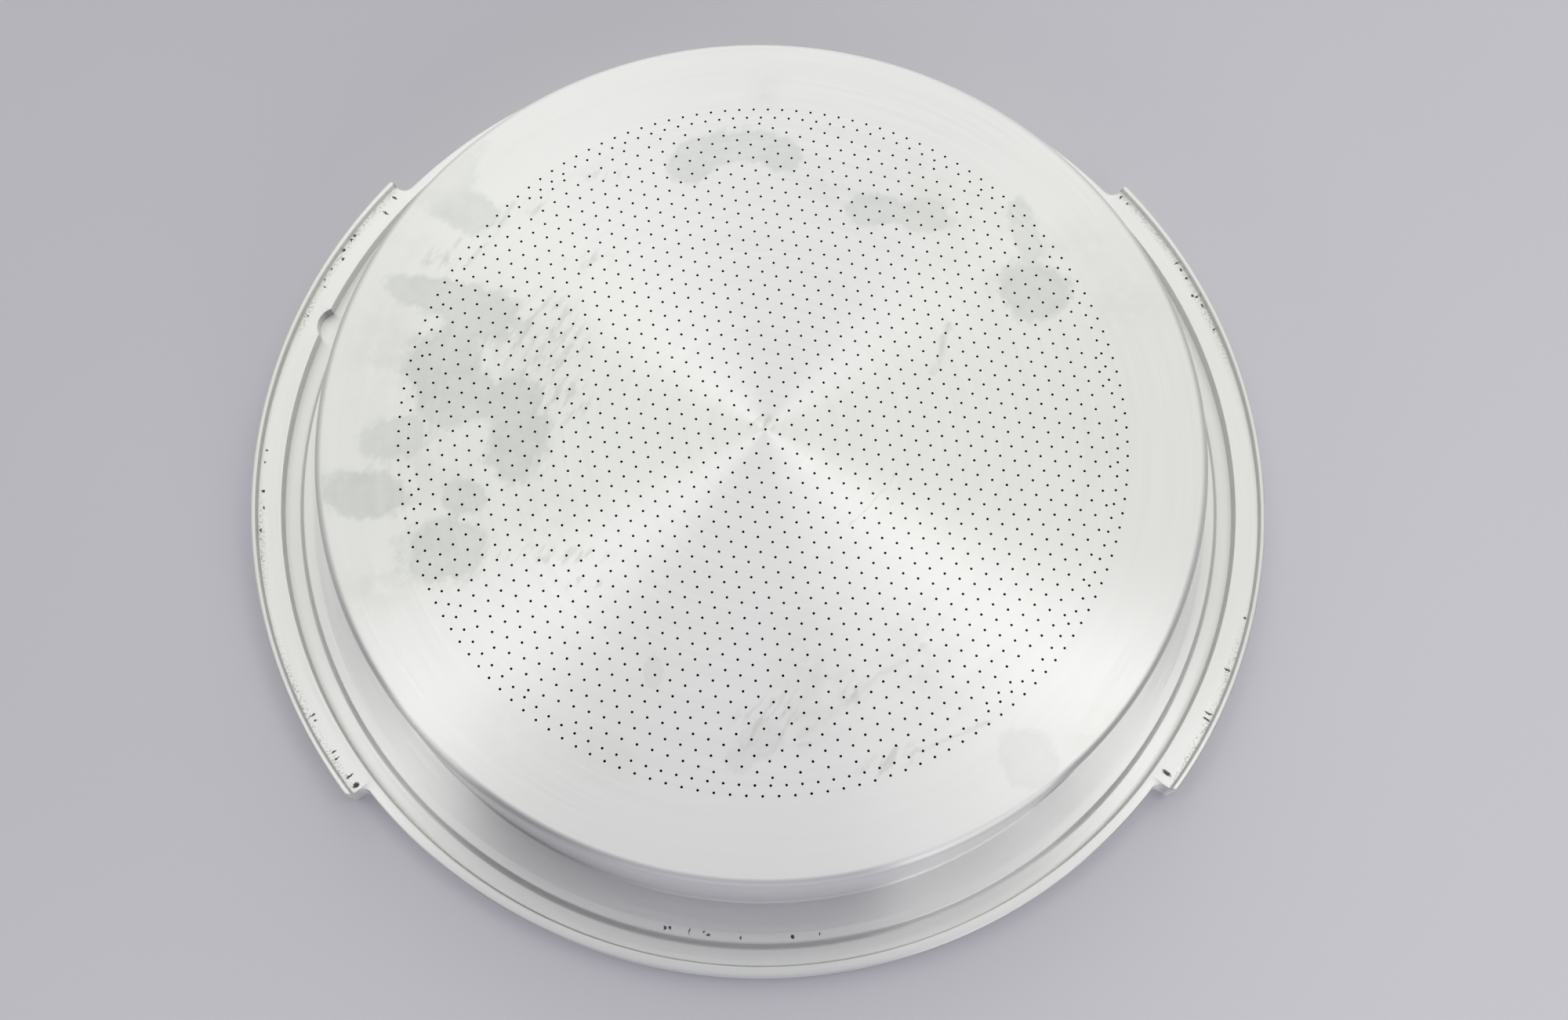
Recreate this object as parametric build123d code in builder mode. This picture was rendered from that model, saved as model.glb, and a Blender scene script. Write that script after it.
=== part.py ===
from build123d import *
import math
import os

# Gas distribution showerhead: one piece of turned aluminium, shaped like a shallow hat.
# It has a perforated face on a drum, a stepped flange, and two ears with a raised rim.
# Millimetres. +Z is up, out of the perforated face, and the underside lies at Z = 0.
# The drum's axis is the Z axis, and +X runs through the middle of one ear.

# Drum
face_height = 50.0            # perforated face above the underside
drum_radius = 132.3           # outside of the drum at its foot
drum_taper = 1.5              # degrees that the drum wall leans in
face_edge_radius = 2.3        # rounded edge between the face and the drum wall
drum_foot_bevel = 0.8         # filled corner where the drum meets the flange
drum_wall = 13.0              # drum wall at its foot
plate_thickness = 12.0        # perforated plate
plenum_corner_bevel = 2.0     # filled corner under the plate
plenum_mouth_break = 1.0      # bevel round the mouth of the hollow

# Flange, from the drum outwards
seat_height = 10.0            # turned seat round the drum, above the underside
seat_width = 9.0
shoulder_drop = 0.25          # the shoulder lies this much under the seat
shoulder_width = 3.0
channel_depth = 3.0           # under the shoulder
channel_slope_width = 1.0     # sloped side of the channel, towards the drum
channel_floor_width = 5.4
land_height = 10.7            # outer land, above the underside
land_width = 3.2              # from the channel to the flange's edge between the ears
edge_break = 0.5              # bevel along the flange's lower edge and the land's outer edge

# Seal groove in the underside
seal_groove_offset = 8.7      # from the drum's foot out to the middle of the groove
seal_groove_width = 5.0
seal_groove_depth = 3.0

# Ears
ear_count = 2
ear_reach = 5.8               # past the flange's edge
ear_angle = 79.0              # degrees that one ear spans
ear_root_radius = 3.5         # hollow corner where an ear's end meets the flange
ear_tip_radius = 1.0
rim_width = 1.7               # raised rim along an ear
rim_height = 2.3              # above the land
rim_crest_bevel = 0.5

# Locating notch in the channel's outer wall
notch_direction = 160.0       # degrees from +X
notch_radius = 6.35
notch_reach = 2.0             # how far it cuts into the land

# Perforation: rows of holes, with every other row shifted by half a pitch, inside rings of holes
hole_diameter = 0.79
hole_pitch = 4.5              # along a row
row_spacing = 3.97
row_direction = -20.0         # degrees from +X
field_margin = 2.0            # from the circle that the rows fill to the first ring
ring_count = 2
ring_spacing = 2.9
ring_margin = 25.4            # from the outer ring to the drum's foot, seen from above
ring_holes = 150              # in each ring
field_step = 5                # the solid has every fifth hole of every fifth row
ring_step = 10                # and every tenth hole of a ring
hole_sides = 6                # flats that stand for the round of so small a hole

# Radii and heights that follow from the sizes above
drum_top_radius = drum_radius - (face_height - seat_height) * math.tan(math.radians(drum_taper))
plenum_radius = drum_radius - drum_wall
plenum_height = face_height - plate_thickness
seat_radius = drum_radius + seat_width
shoulder_radius = seat_radius + shoulder_width
shoulder_height = seat_height - shoulder_drop
channel_height = shoulder_height - channel_depth
channel_inner_radius = shoulder_radius + channel_slope_width
channel_outer_radius = channel_inner_radius + channel_floor_width
flange_radius = channel_outer_radius + land_width
ear_radius = flange_radius + ear_reach
rim_inner_radius = ear_radius - rim_width
rim_top = land_height + rim_height
half_ear = ear_angle / 2
groove_inner_radius = drum_radius + seal_groove_offset - seal_groove_width / 2
groove_outer_radius = groove_inner_radius + seal_groove_width
notch_centre_radius = channel_outer_radius + notch_reach - notch_radius
first_ring_radius = drum_radius - ring_margin - (ring_count - 1) * ring_spacing
field_radius = first_ring_radius - field_margin


def corner(sketch, radius, height):
    """The section's corner at a radius and a height."""
    return sketch.vertices().sort_by_distance((radius, height))[0]


def on_circle(radius, angle):
    """The point at a radius and an angle in degrees."""
    return (radius * math.cos(math.radians(angle)), radius * math.sin(math.radians(angle)))


def is_rim_foot(edge):
    """Whether an edge of the land is the long arc at the foot of a raised rim."""
    return edge.geom_type == GeomType.CIRCLE and math.isclose(edge.radius, rim_inner_radius)


def field_points(step):
    """Centres of every step-th hole of every step-th row inside the field circle."""
    points = []
    row_limit = int(field_radius / (row_spacing * step))
    for row in range(-row_limit, row_limit + 1):
        y = row * row_spacing * step
        half_chord = math.sqrt(field_radius**2 - y**2)
        shift = hole_pitch * step / 2 * (row % 2)
        first = math.ceil((-half_chord - shift) / (hole_pitch * step))
        last = math.floor((half_chord - shift) / (hole_pitch * step))
        for place in range(first, last + 1):
            points.append((place * hole_pitch * step + shift, y))
    return points


os.makedirs("parts", exist_ok=True)

with BuildPart() as showerhead:
    # The turned section, from the middle of the plate round the hollow to the ear and back
    with BuildSketch(Plane.XZ) as section:
        with BuildLine():
            Polyline(
                (0, plenum_height),
                (plenum_radius, plenum_height),
                (plenum_radius, 0),
                (groove_inner_radius, 0),
                (groove_inner_radius, seal_groove_depth),
                (groove_outer_radius, seal_groove_depth),
                (groove_outer_radius, 0),
                (ear_radius, 0),
                (ear_radius, rim_top),
                (rim_inner_radius, rim_top),
                (rim_inner_radius, land_height),
                (channel_outer_radius, land_height),
                (channel_outer_radius, channel_height),
                (channel_inner_radius, channel_height),
                (shoulder_radius, shoulder_height),
                (seat_radius, shoulder_height),
                (seat_radius, seat_height),
                (drum_radius, seat_height),
                (drum_top_radius, face_height),
                (0, face_height),
                close=True,
            )
        make_face()
        fillet(corner(section, drum_top_radius, face_height), face_edge_radius)
        chamfer(corner(section, drum_radius, seat_height), drum_foot_bevel)
        chamfer(corner(section, plenum_radius, plenum_height), plenum_corner_bevel)
        chamfer(corner(section, plenum_radius, 0), plenum_mouth_break)
        chamfer(corner(section, ear_radius, rim_top), rim_crest_bevel)
        chamfer(corner(section, rim_inner_radius, rim_top), rim_crest_bevel)
    revolve(axis=Axis.Z)

    # The outline seen from above leaves the rim and the outer land on the two ears only
    with BuildSketch() as outline:
        Circle(flange_radius)
        for ear in range(ear_count):
            middle = ear * 360 / ear_count
            with BuildLine():
                CenterArc((0, 0), ear_radius, middle - half_ear, ear_angle)
                Polyline(
                    on_circle(ear_radius, middle - half_ear),
                    (0, 0),
                    on_circle(ear_radius, middle + half_ear),
                )
            make_face()
        fillet(outline.vertices().group_by(SortBy.DISTANCE)[0], ear_root_radius)
        fillet(outline.vertices().group_by(SortBy.DISTANCE)[-1], ear_tip_radius)
    extrude(amount=face_height, mode=Mode.INTERSECT)

    # The notch opens into the channel and stops at the channel's outer wall elsewhere
    with BuildSketch(Plane.XY.offset(channel_height)):
        with Locations(on_circle(notch_centre_radius, notch_direction)):
            Circle(notch_radius)
        Circle(channel_outer_radius - channel_floor_width / 2, mode=Mode.SUBTRACT)
    extrude(amount=land_height - channel_height, mode=Mode.SUBTRACT)

    # Bevels along the whole lower edge, and along the land's edge from one ear's rim to the other's
    chamfer(showerhead.faces().sort_by(Axis.Z)[0].outer_wire().edges(), edge_break)
    land = showerhead.faces().filter_by(Axis.Z).sort_by_distance((0, flange_radius, land_height))[0]
    chamfer([edge for edge in land.outer_wire().edges() if not is_rim_foot(edge)], edge_break)

    # The holes, on a plane turned to the rows; the second ring stands half a hole pitch further round
    with BuildSketch(Plane.XY.offset(plenum_height).rotated((0, 0, row_direction))):
        with Locations(*field_points(field_step)):
            RegularPolygon(hole_diameter / 2, hole_sides)
        for ring in range(ring_count):
            ring_radius = first_ring_radius + ring * ring_spacing
            ring_start = ring * 180 / ring_holes
            with PolarLocations(ring_radius, ring_holes // ring_step, start_angle=ring_start):
                RegularPolygon(hole_diameter / 2, hole_sides)
    extrude(amount=plate_thickness, mode=Mode.SUBTRACT)

showerhead.part.label = "showerhead"
export_step(showerhead.part, "parts/showerhead.step")
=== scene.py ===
"""Gas distribution showerhead: the frame's solid, dressed as satin turned aluminium with all its orifices.

Sizes are in millimetres until a mesh is written, in metres. The axis of the drum is the Z axis, the
underside lies at Z = 0 and +X runs through the middle of one ear, as in the frame.
"""
import math

import bmesh
import bpy
import numpy as np
from mathutils import Matrix, Vector
from mathutils.geometry import delaunay_2d_cdt


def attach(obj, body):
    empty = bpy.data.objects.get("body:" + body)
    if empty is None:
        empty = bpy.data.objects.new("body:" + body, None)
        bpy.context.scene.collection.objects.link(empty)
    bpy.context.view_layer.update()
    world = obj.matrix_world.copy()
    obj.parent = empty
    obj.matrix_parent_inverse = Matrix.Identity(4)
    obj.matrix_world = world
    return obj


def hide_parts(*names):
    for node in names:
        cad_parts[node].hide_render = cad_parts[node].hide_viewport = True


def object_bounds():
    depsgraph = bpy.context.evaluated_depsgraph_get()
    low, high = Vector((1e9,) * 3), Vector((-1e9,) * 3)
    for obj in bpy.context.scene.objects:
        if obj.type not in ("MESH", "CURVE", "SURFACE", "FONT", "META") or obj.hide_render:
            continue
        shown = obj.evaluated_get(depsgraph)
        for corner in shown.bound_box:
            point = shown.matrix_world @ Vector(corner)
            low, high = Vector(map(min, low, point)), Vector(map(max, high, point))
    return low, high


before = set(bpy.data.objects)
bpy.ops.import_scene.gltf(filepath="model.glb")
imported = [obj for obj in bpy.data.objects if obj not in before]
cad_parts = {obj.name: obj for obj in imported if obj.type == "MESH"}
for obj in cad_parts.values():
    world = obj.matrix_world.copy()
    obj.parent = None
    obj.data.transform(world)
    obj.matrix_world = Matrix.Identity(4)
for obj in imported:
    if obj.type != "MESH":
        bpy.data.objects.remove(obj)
cad_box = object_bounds()

MM = 0.001

# Sizes of the turned form, in millimetres; the height and the ears' reach come from the frame
FACE_HEIGHT = cad_box[1][2] / MM
EAR_RADIUS = cad_box[1][0] / MM
DRUM_RADIUS = 132.3
DRUM_TAPER = math.radians(1.5)
FACE_EDGE_RADIUS = 2.3
DRUM_FOOT_RADIUS = 1.0
DRUM_WALL = 13.0
PLATE_THICKNESS = 12.0
PLENUM_CORNER_RADIUS = 2.0
PLENUM_MOUTH_BREAK = 1.0
SEAT_HEIGHT = 10.0
SEAT_WIDTH = 9.0
SHOULDER_DROP = 0.25
SHOULDER_WIDTH = 3.0
CHANNEL_DEPTH = 3.0
CHANNEL_SLOPE_WIDTH = 1.0
CHANNEL_FLOOR_WIDTH = 5.4
LAND_HEIGHT = 10.7
FLANGE_RADIUS = 153.9
EDGE_BREAK = 0.5
SOFT_EDGE = 0.25
CHANNEL_EDGE_RADIUS = 0.5
CHANNEL_FLOOR_RADIUS = 1.2
CHANNEL_CORNER_RADIUS = 0.5
SEAL_GROOVE_RADIUS = 141.0
SEAL_GROOVE_WIDTH = 5.0
SEAL_GROOVE_DEPTH = 3.0
EAR_COUNT = 2
EAR_ANGLE = math.radians(79.0)
EAR_ROOT_RADIUS = 3.5
EAR_TIP_RADIUS = 1.0
RIM_WIDTH = 1.7
RIM_HEIGHT = 2.3
RIM_CREST_RADIUS = 0.6
NOTCH_DIRECTION = math.radians(160.0)
NOTCH_RADIUS = 6.35
NOTCH_REACH = 2.0
NOTCH_REGION = math.radians(5.0)    # the notch ends within this angle on both sides of its middle

# Perforation
HOLE_RADIUS = 0.395
HOLE_SIDES = 10
HOLE_PITCH = 4.5
ROW_SPACING = 3.97
ROW_DIRECTION = math.radians(-20.0)
FIELD_RADIUS = 102.0
RING_COUNT = 2
FIRST_RING_RADIUS = 104.0
RING_SPACING = 2.9
RING_HOLES = 150
DISC_RADIUS = 112.0           # between the last ring and the drum's edge

# Rows and columns of the turned surface
SUPPORT = 0.3                 # from an arc's end to a row that keeps the flat beside it flat
FACE_MARGIN_ROWS = 8
FACE_EDGE_ROWS = 10
DRUM_FOOT_ROWS = 6
CHANNEL_EDGE_ROWS = 6
CHANNEL_FLOOR_ROWS = 7
CHANNEL_CORNER_ROWS = 5
SOFT_EDGE_ROWS = 4
CREST_ROWS = 6
PLENUM_CORNER_ROWS = 7
EAR_COLUMNS = 39              # from an ear's middle to its tip
ARC_COLUMNS = 8               # round an ear's tip, and round its root
FLANGE_COLUMNS = 51           # from an ear's root half way to the next ear
NOTCH_COLUMNS = 41
NOTCH_SPAN = 0.034            # radians on both sides of the notch's middle
COLUMN_GAP = 2e-5             # radians between the columns of an ear's end
EVENING_WIDTH = 5.0           # flat beside the disc, in which the columns go over to their own angles
EVENING_REACH = 6             # neighbours on each side that evening out takes in
ANGLE_TOLERANCE = 1e-6        # radians
NET_TOLERANCE = 1e-7
MERGE_DISTANCE = 1e-7         # metres
CREASE = math.radians(30.0)   # sharper edges are shaded hard
HAIR = 0.01                   # a height this close counts as the same
LEVEL = 0.9                   # a face counts as level above this z of its normal
UPRIGHT = 0.1                 # and as upright below this one

# Radii and heights that follow
PLENUM_RADIUS = DRUM_RADIUS - DRUM_WALL
PLENUM_HEIGHT = FACE_HEIGHT - PLATE_THICKNESS
SEAT_RADIUS = DRUM_RADIUS + SEAT_WIDTH
SHOULDER_RADIUS = SEAT_RADIUS + SHOULDER_WIDTH
SHOULDER_HEIGHT = SEAT_HEIGHT - SHOULDER_DROP
CHANNEL_HEIGHT = SHOULDER_HEIGHT - CHANNEL_DEPTH
CHANNEL_INNER_RADIUS = SHOULDER_RADIUS + CHANNEL_SLOPE_WIDTH
CHANNEL_OUTER_RADIUS = CHANNEL_INNER_RADIUS + CHANNEL_FLOOR_WIDTH
RIM_INNER_RADIUS = EAR_RADIUS - RIM_WIDTH
RIM_TOP = LAND_HEIGHT + RIM_HEIGHT

# Stains with a wandering edge on the face: middle x and y, the two radii, turn in degrees, depth
STAINS = [
    # The bean-shaped stain at the back
    (-22, 88, 8, 7, 35, 0.8), (-14, 93, 10, 6.5, 15, 0.6), (-3, 94, 10, 6, -6, 0.6),
    (5, 91, 6.5, 6, -20, 0.8),
    # Back right, and the running stain at the right
    (34, 72, 8.5, 6, -5, 0.7), (49, 70, 9, 5.5, -8, 0.6), (79, 72, 4, 5, 0, 0.6), (81, 62, 4.5, 9, 8, 0.5),
    (82, 45, 10.5, 9.5, -12, 0.85),
    # Left, from the back to the front
    (-103, 92, 15, 19, 25, 0.35), (-91, 71, 11.5, 7, -18, 0.7), (-98, 43, 15, 6, -12, 0.8),
    (-84, 36, 13, 9, -20, 0.8), (-94, 17, 12, 16, 8, 0.9), (-85, 10, 9, 7, 0, 0.8),
    (-108, -3, 10, 6.5, 10, 0.7), (-74, 9, 9, 8, 0, 0.85), (-72, -3, 9, 13, -12, 0.95),
    (-115, -20, 13, 7.5, -8, 0.9), (-87, -21, 6.5, 5.5, 20, 0.8), (-92, -37, 13, 10.5, 8, 0.8),
    # Front
    (-2, -91, 6, 7, -30, 0.3), (-8, -97, 4, 4, 0, 0.3), (72, -97, 8, 9, 30, 0.35),
    (-32, -72, 3, 5, 0, 0.3),
]

# Soft clouds on the face: middle x and y, the two radii, turn in degrees, depth
CLOUDS = [
    (1, 114, 4, 6, 0, 0.3), (20, 81, 7, 5, -20, 0.35), (56, 74, 17, 10, -20, 0.3), (55, 58, 8, 10, 0, 0.2),
    (88, 57, 6, 7, 0, 0.35), (73, 46, 6, 5, 0, 0.4), (98, 60, 9, 8, 0, 0.25), (109, 41, 9, 9, 0, 0.3),
    (99, -2, 9, 7, 0, 0.2), (-111, -48, 8, 6, 0, 0.45), (-64, -26, 10, 7, 0, 0.3),
    (-66, 27, 14, 15, 0, 0.35), (-112, 24, 9, 15, 0, 0.4), (-100, -14, 12, 10, 0, 0.35),
    (14, -77, 7, 13, 5, 0.4), (43, -68, 6, 12, 0, 0.4), (-72, -87, 8, 8, 0, 0.25),
    (-44, -96, 7, 6, 0, 0.25), (92, -90, 9, 6, 45, 0.4), (51, -82, 9, 6, 0, 0.2),
    (-108, 60, 8, 10, 0, 0.2),
]

# Areas of the face with small grey specks: middle x and y, the two radii, turn in degrees, depth
SPECKLES = [
    (-66, 28, 12, 13, 0, 1.0), (-60, 10, 8, 9, 0, 0.9), (-62, -38, 17, 2.5, -2, 1.0),
    (-53, -47, 8, 2.5, -5, 0.9), (34, -97, 9, 3.5, 20, 0.9), (0, -86, 12, 8, 30, 0.7),
    (-98, 55, 7, 4, 0, 0.8), (-50, 84, 6, 3, 0, 0.8), (-53, 54, 9, 4, 5, 0.7), (0, 2, 6, 3, 0, 0.8),
    (24, -78, 5, 6, 0, 0.7), (-70, 72, 6, 4, 20, 0.8),
]

# Nicks on the ears and on the shoulder: direction in degrees, radius, half length along the radius, and half
# width
NICKS = [
    (141.7, 155.5, 0.84, 0.4), (143.9, 154.1, 1.2, 0.32), (148.4, 157.4, 0.36, 0.56),
    (149.1, 157.5, 0.3, 0.48), (150.7, 157.4, 0.42, 0.64), (151.7, 156.1, 0.54, 0.56),
    (153.5, 157.4, 0.36, 0.4), (155.1, 157.4, 0.42, 0.32), (155.9, 156.2, 0.48, 0.24),
    (160.0, 156.6, 0.48, 0.24), (177.3, 156.6, 0.3, 0.4), (178.8, 156.6, 0.36, 0.32),
    (182.3, 156.5, 0.42, 0.56), (184.3, 156.1, 0.36, 0.48), (187.0, 157.1, 0.42, 0.72),
    (209.6, 156.0, 0.96, 0.32), (210.3, 155.8, 0.48, 0.32), (214.4, 155.7, 0.84, 0.24),
    (215.2, 156.0, 0.96, 0.24), (217.7, 155.7, 1.2, 0.32), (218.9, 155.8, 1.08, 0.64),
    (321.7, 154.5, 1.44, 0.64), (329.5, 156.4, 1.2, 0.32), (330.2, 156.3, 1.32, 0.32),
    (335.8, 156.5, 1.08, 0.4), (342.3, 157.1, 0.3, 0.4), (18.5, 157.2, 0.48, 0.32),
    (21.8, 157.1, 0.36, 0.8), (23.1, 156.9, 0.72, 0.32), (23.4, 155.8, 0.6, 0.4),
    (25.8, 157.1, 0.42, 0.56), (27.1, 157.1, 0.36, 0.56), (28.0, 157.1, 0.84, 0.32),
    (37.7, 156.6, 0.6, 0.24), (38.9, 156.5, 0.72, 0.32), (258.1, 142.6, 0.54, 0.4),
    (258.7, 142.4, 0.36, 0.4), (261.0, 142.4, 0.84, 0.24), (262.7, 141.9, 0.3, 0.32),
    (263.2, 142.7, 0.42, 0.64), (267.0, 142.7, 0.6, 0.32), (273.1, 142.6, 0.54, 0.48),
    (276.3, 142.6, 0.48, 0.24),
]

# Scuffed stretches at the foot of the ears' rims: direction of the middle and half length, in degrees
SCUFFS = [(148, 7), (160, 2), (188, 4), (207, 5), (215, 4), (-34, 5), (-24, 4), (20, 5), (33, 5)]

# Scratches and rubbed lines on the face, each a stretch of a circle: middle x and y, radius, direction of its
# middle in degrees, half the angle that it spans in degrees, half width, depth
SCRATCHES = [
    (-346, 436, 634.8, 306, 2.1, 1.6, 0.55), (-9, -38, 58.1, 295, 7.8, 1.2, 0.5),
    (-211, 189, 321.1, 319, 2.0, 0.35, 1.0), (512, -1234, 1232.5, 112, 0.6, 1.0, 0.8),
    (-156, 110, 87.5, 327, 8.9, 1.0, 0.8), (-114, 78, 27.8, 310, 13.7, 1.1, 0.9),
    (-5, 47, 62.1, 340, 8.4, 1.5, 1.0),
]

# Colours, linear red, green, blue and opacity
CLEAN_LIGHT = (0.83, 0.832, 0.805, 1)
CLEAN_DARK = (0.795, 0.797, 0.77, 1)
STAIN_COLOUR = (0.655, 0.663, 0.635, 1)
CLOUD_COLOUR = (0.665, 0.655, 0.61, 1)
SPECK_COLOUR = (0.62, 0.625, 0.595, 1)
SCRATCH_COLOUR = (0.55, 0.55, 0.54, 1)
SCUFF_COLOUR = (0.28, 0.28, 0.27, 1)
NICK_COLOUR = (0.07, 0.07, 0.065, 1)
# Near black on the orifices' walls: painted shade for the darkness down the deep narrow bores
BORE_PAINTED_SHADE = (0.05, 0.05, 0.05, 1)
# The floor's two colours are painted light: painted shade to the left and at the back, painted light to the
# right and in front
FLOOR_PAINTED_SHADE = (0.63, 0.62, 0.655, 1)
FLOOR_PAINTED_LIGHT = (0.75, 0.74, 0.775, 1)
SKY_FRONT = (0.90, 0.89, 1.05, 1)
SKY_BACK = (0.97, 0.98, 0.97, 1)
BACKDROP_COLOUR = (0.55, 0.54, 0.575, 1)

# Turned metal
DRUM_ROUGHNESS = 0.34
FACE_ROUGHNESS = 0.37
FLANGE_ROUGHNESS = 0.36
BORE_ROUGHNESS = 0.5
ROUGHNESS_SWING = 0.08        # from the smoothest to the roughest tool mark
DRUM_ANISOTROPY = 1.0
FACE_ANISOTROPY = 0.92        # of the flange's upper side as well
QUARTER_TURN = 0.25           # of a full turn
TOOL_FEED = 0.5               # millimetres from ring to ring
FINE_DRIFT = 25.0             # how fast the fine rings change along x and y, per metre
BROAD_DRIFT = 6.0
BROAD_RINGS = 420.0           # per metre of the radius
FINE_DETAIL = 2.0             # of the noises of the tool marks and of the shake

# Wear. The scales of noises are per metre. Where the name of an edge, an area or a depth holds two numbers,
# they are the low and the high end of a smooth step from 0 to 1. Where it holds four, the last two are what
# the step gives at those ends
WEAR_NOISE = (3.0, 0.6)       # detail and roughness of the next two noises
WANDER_SCALE = 130.0          # the noise that the stains' edges wander by
WANDER_SWAY = 0.8             # how much of it is added to how deep a point lies in a stain
STROKE_SCALE = 420.0          # the noise drawn out into wiping strokes
STROKE_SWAY = 0.35
STROKE_TURN = math.radians(-60.0)
STROKE_SQUEEZE = (0.3, 1, 1)  # a smaller factor draws the noise out along that axis
LEAST_WEIGHT = 1e-12          # keeps the mean of the stains' depths defined far from all of them
STAIN_EDGE = (0.36, 0.66)
BORDER_RISE = (0.42, 0.56)
BORDER_FALL = (0.56, 0.78)
BORDER_DEPTH = 0.08
MOTTLE = (0.35, 0.65, 1.12, 0.8)
CLOUD_EDGE = (0.3, 0.6)
SPECK_EDGE = (0.46, 0.66)
SPECK_AREA = (0.2, 0.7)
SPECK_DEPTH = 0.7
SCRATCH_DEPTH = (0.35, 0.55, 0.1, 0.5)
WAVER = 0.004                 # metres between the noise's two ends, for the scratches' paths
NICK_EDGE = (0.6, 1.4)
SHAKE = 0.0012                # metres between the noise's two ends, for the nicks' outlines
SHAKE_SCALE = 1100.0
SCUFF_START = 155.0           # radii, in millimetres
SCUFF_FULL = 157.4
SCUFF_FADE = 157.7
SCUFF_END = 158.1
SCUFF_SCALE = 1300.0
SCUFF_DETAIL = 1.0
SCUFF_EDGE = (0.48, 0.66)
SCUFF_DEPTH = 0.6

# Floor, in metres
FLOOR_HALF = 40.0
FLOOR_GAP = 0.0001            # under the part, so that the two surfaces don't lie in one plane
# Painted light on the floor: the direction and the range of the painted shading across it
FLOOR_PAINTED_LIGHT_SLOPE = (1.0, -0.7, 0)  # the floor's level grows along this direction
FLOOR_PAINTED_LIGHT_RANGE = (-0.35, 0.5)
FLOOR_MOTTLE = 0.25
FLOOR_MOTTLE_SCALE = 3.0
FLOOR_ROUGHNESS = 0.8

# Studio: smooth steps along the y of a direction, or for the sides along the size of its x
SKY_DEPTH = (-0.35, 0.3, 0.3, 1.29)
SKY_SIDES = (0.15, 0.85, 1.0, 0.35)
SKY_TINT = (-0.4, 0.3)
SKY_LOW_BAND = (-0.95, -0.75, 0.7, 0.0)

# Lamps: name, place and size in metres, power in watts. Two soft ones stand on both sides of the camera, and
# two dim pale cards low on the near right and near left
SOFTBOXES = [
    ("soft_left", (-0.75, -0.05, 1.55), 0.4, 0.75),
    ("soft_right", (0.75, -0.05, 1.55), 0.4, 1.15),
    ("card_right", (0.79, -1.03, 0.80), 0.7, 2.6),
    ("card_left", (-1.13, -0.64, 0.80), 0.4, 0.9),
]

# Camera, in millimetres
LENS = 36.51
SENSOR_WIDTH = 36.0
CLIP_START = 0.01             # metres
CAMERA_X = -10.24
CAMERA_Y = -162.27
CAMERA_ABOVE_FACE = 438.45
CAMERA_LOOKS = (0.03354, 0.29898, -0.95367)
CAMERA_RIGHT = (0.99944, -0.01039, 0.0319)

# Nodes
FLOAT = "NodeSocketFloat"
VECTOR = "NodeSocketVector"
FLAT = (1, 1, 0)              # a factor that leaves out the height
NODE_WIDTH = 180
NODE_HEIGHT = 220
NODES_IN_ROW = 12


def hole_centres():
    """Centres of all orifices: rows one spacing apart, with every other row shifted by half a pitch and cut
    off at the field's circle, then two rings of evenly spaced holes, the second half a step further round."""
    reach = int(FIELD_RADIUS / ROW_SPACING) + 1
    row, place = np.mgrid[-reach:reach + 1, -reach:reach + 1]
    x = HOLE_PITCH * (place + 0.5 * (row % 2))
    y = ROW_SPACING * row
    inside = np.hypot(x, y) <= FIELD_RADIUS
    groups = [np.stack([x[inside], y[inside]], 1)]
    for ring in range(RING_COUNT):
        radius = FIRST_RING_RADIUS + ring * RING_SPACING
        turn = 2 * math.pi * (np.arange(RING_HOLES) + 0.5 * ring) / RING_HOLES
        groups.append(radius * np.stack([np.cos(turn), np.sin(turn)], 1))
    points = np.concatenate(groups)
    cosine, sine = math.cos(ROW_DIRECTION), math.sin(ROW_DIRECTION)
    return points @ np.array([[cosine, sine], [-sine, cosine]])


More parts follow.
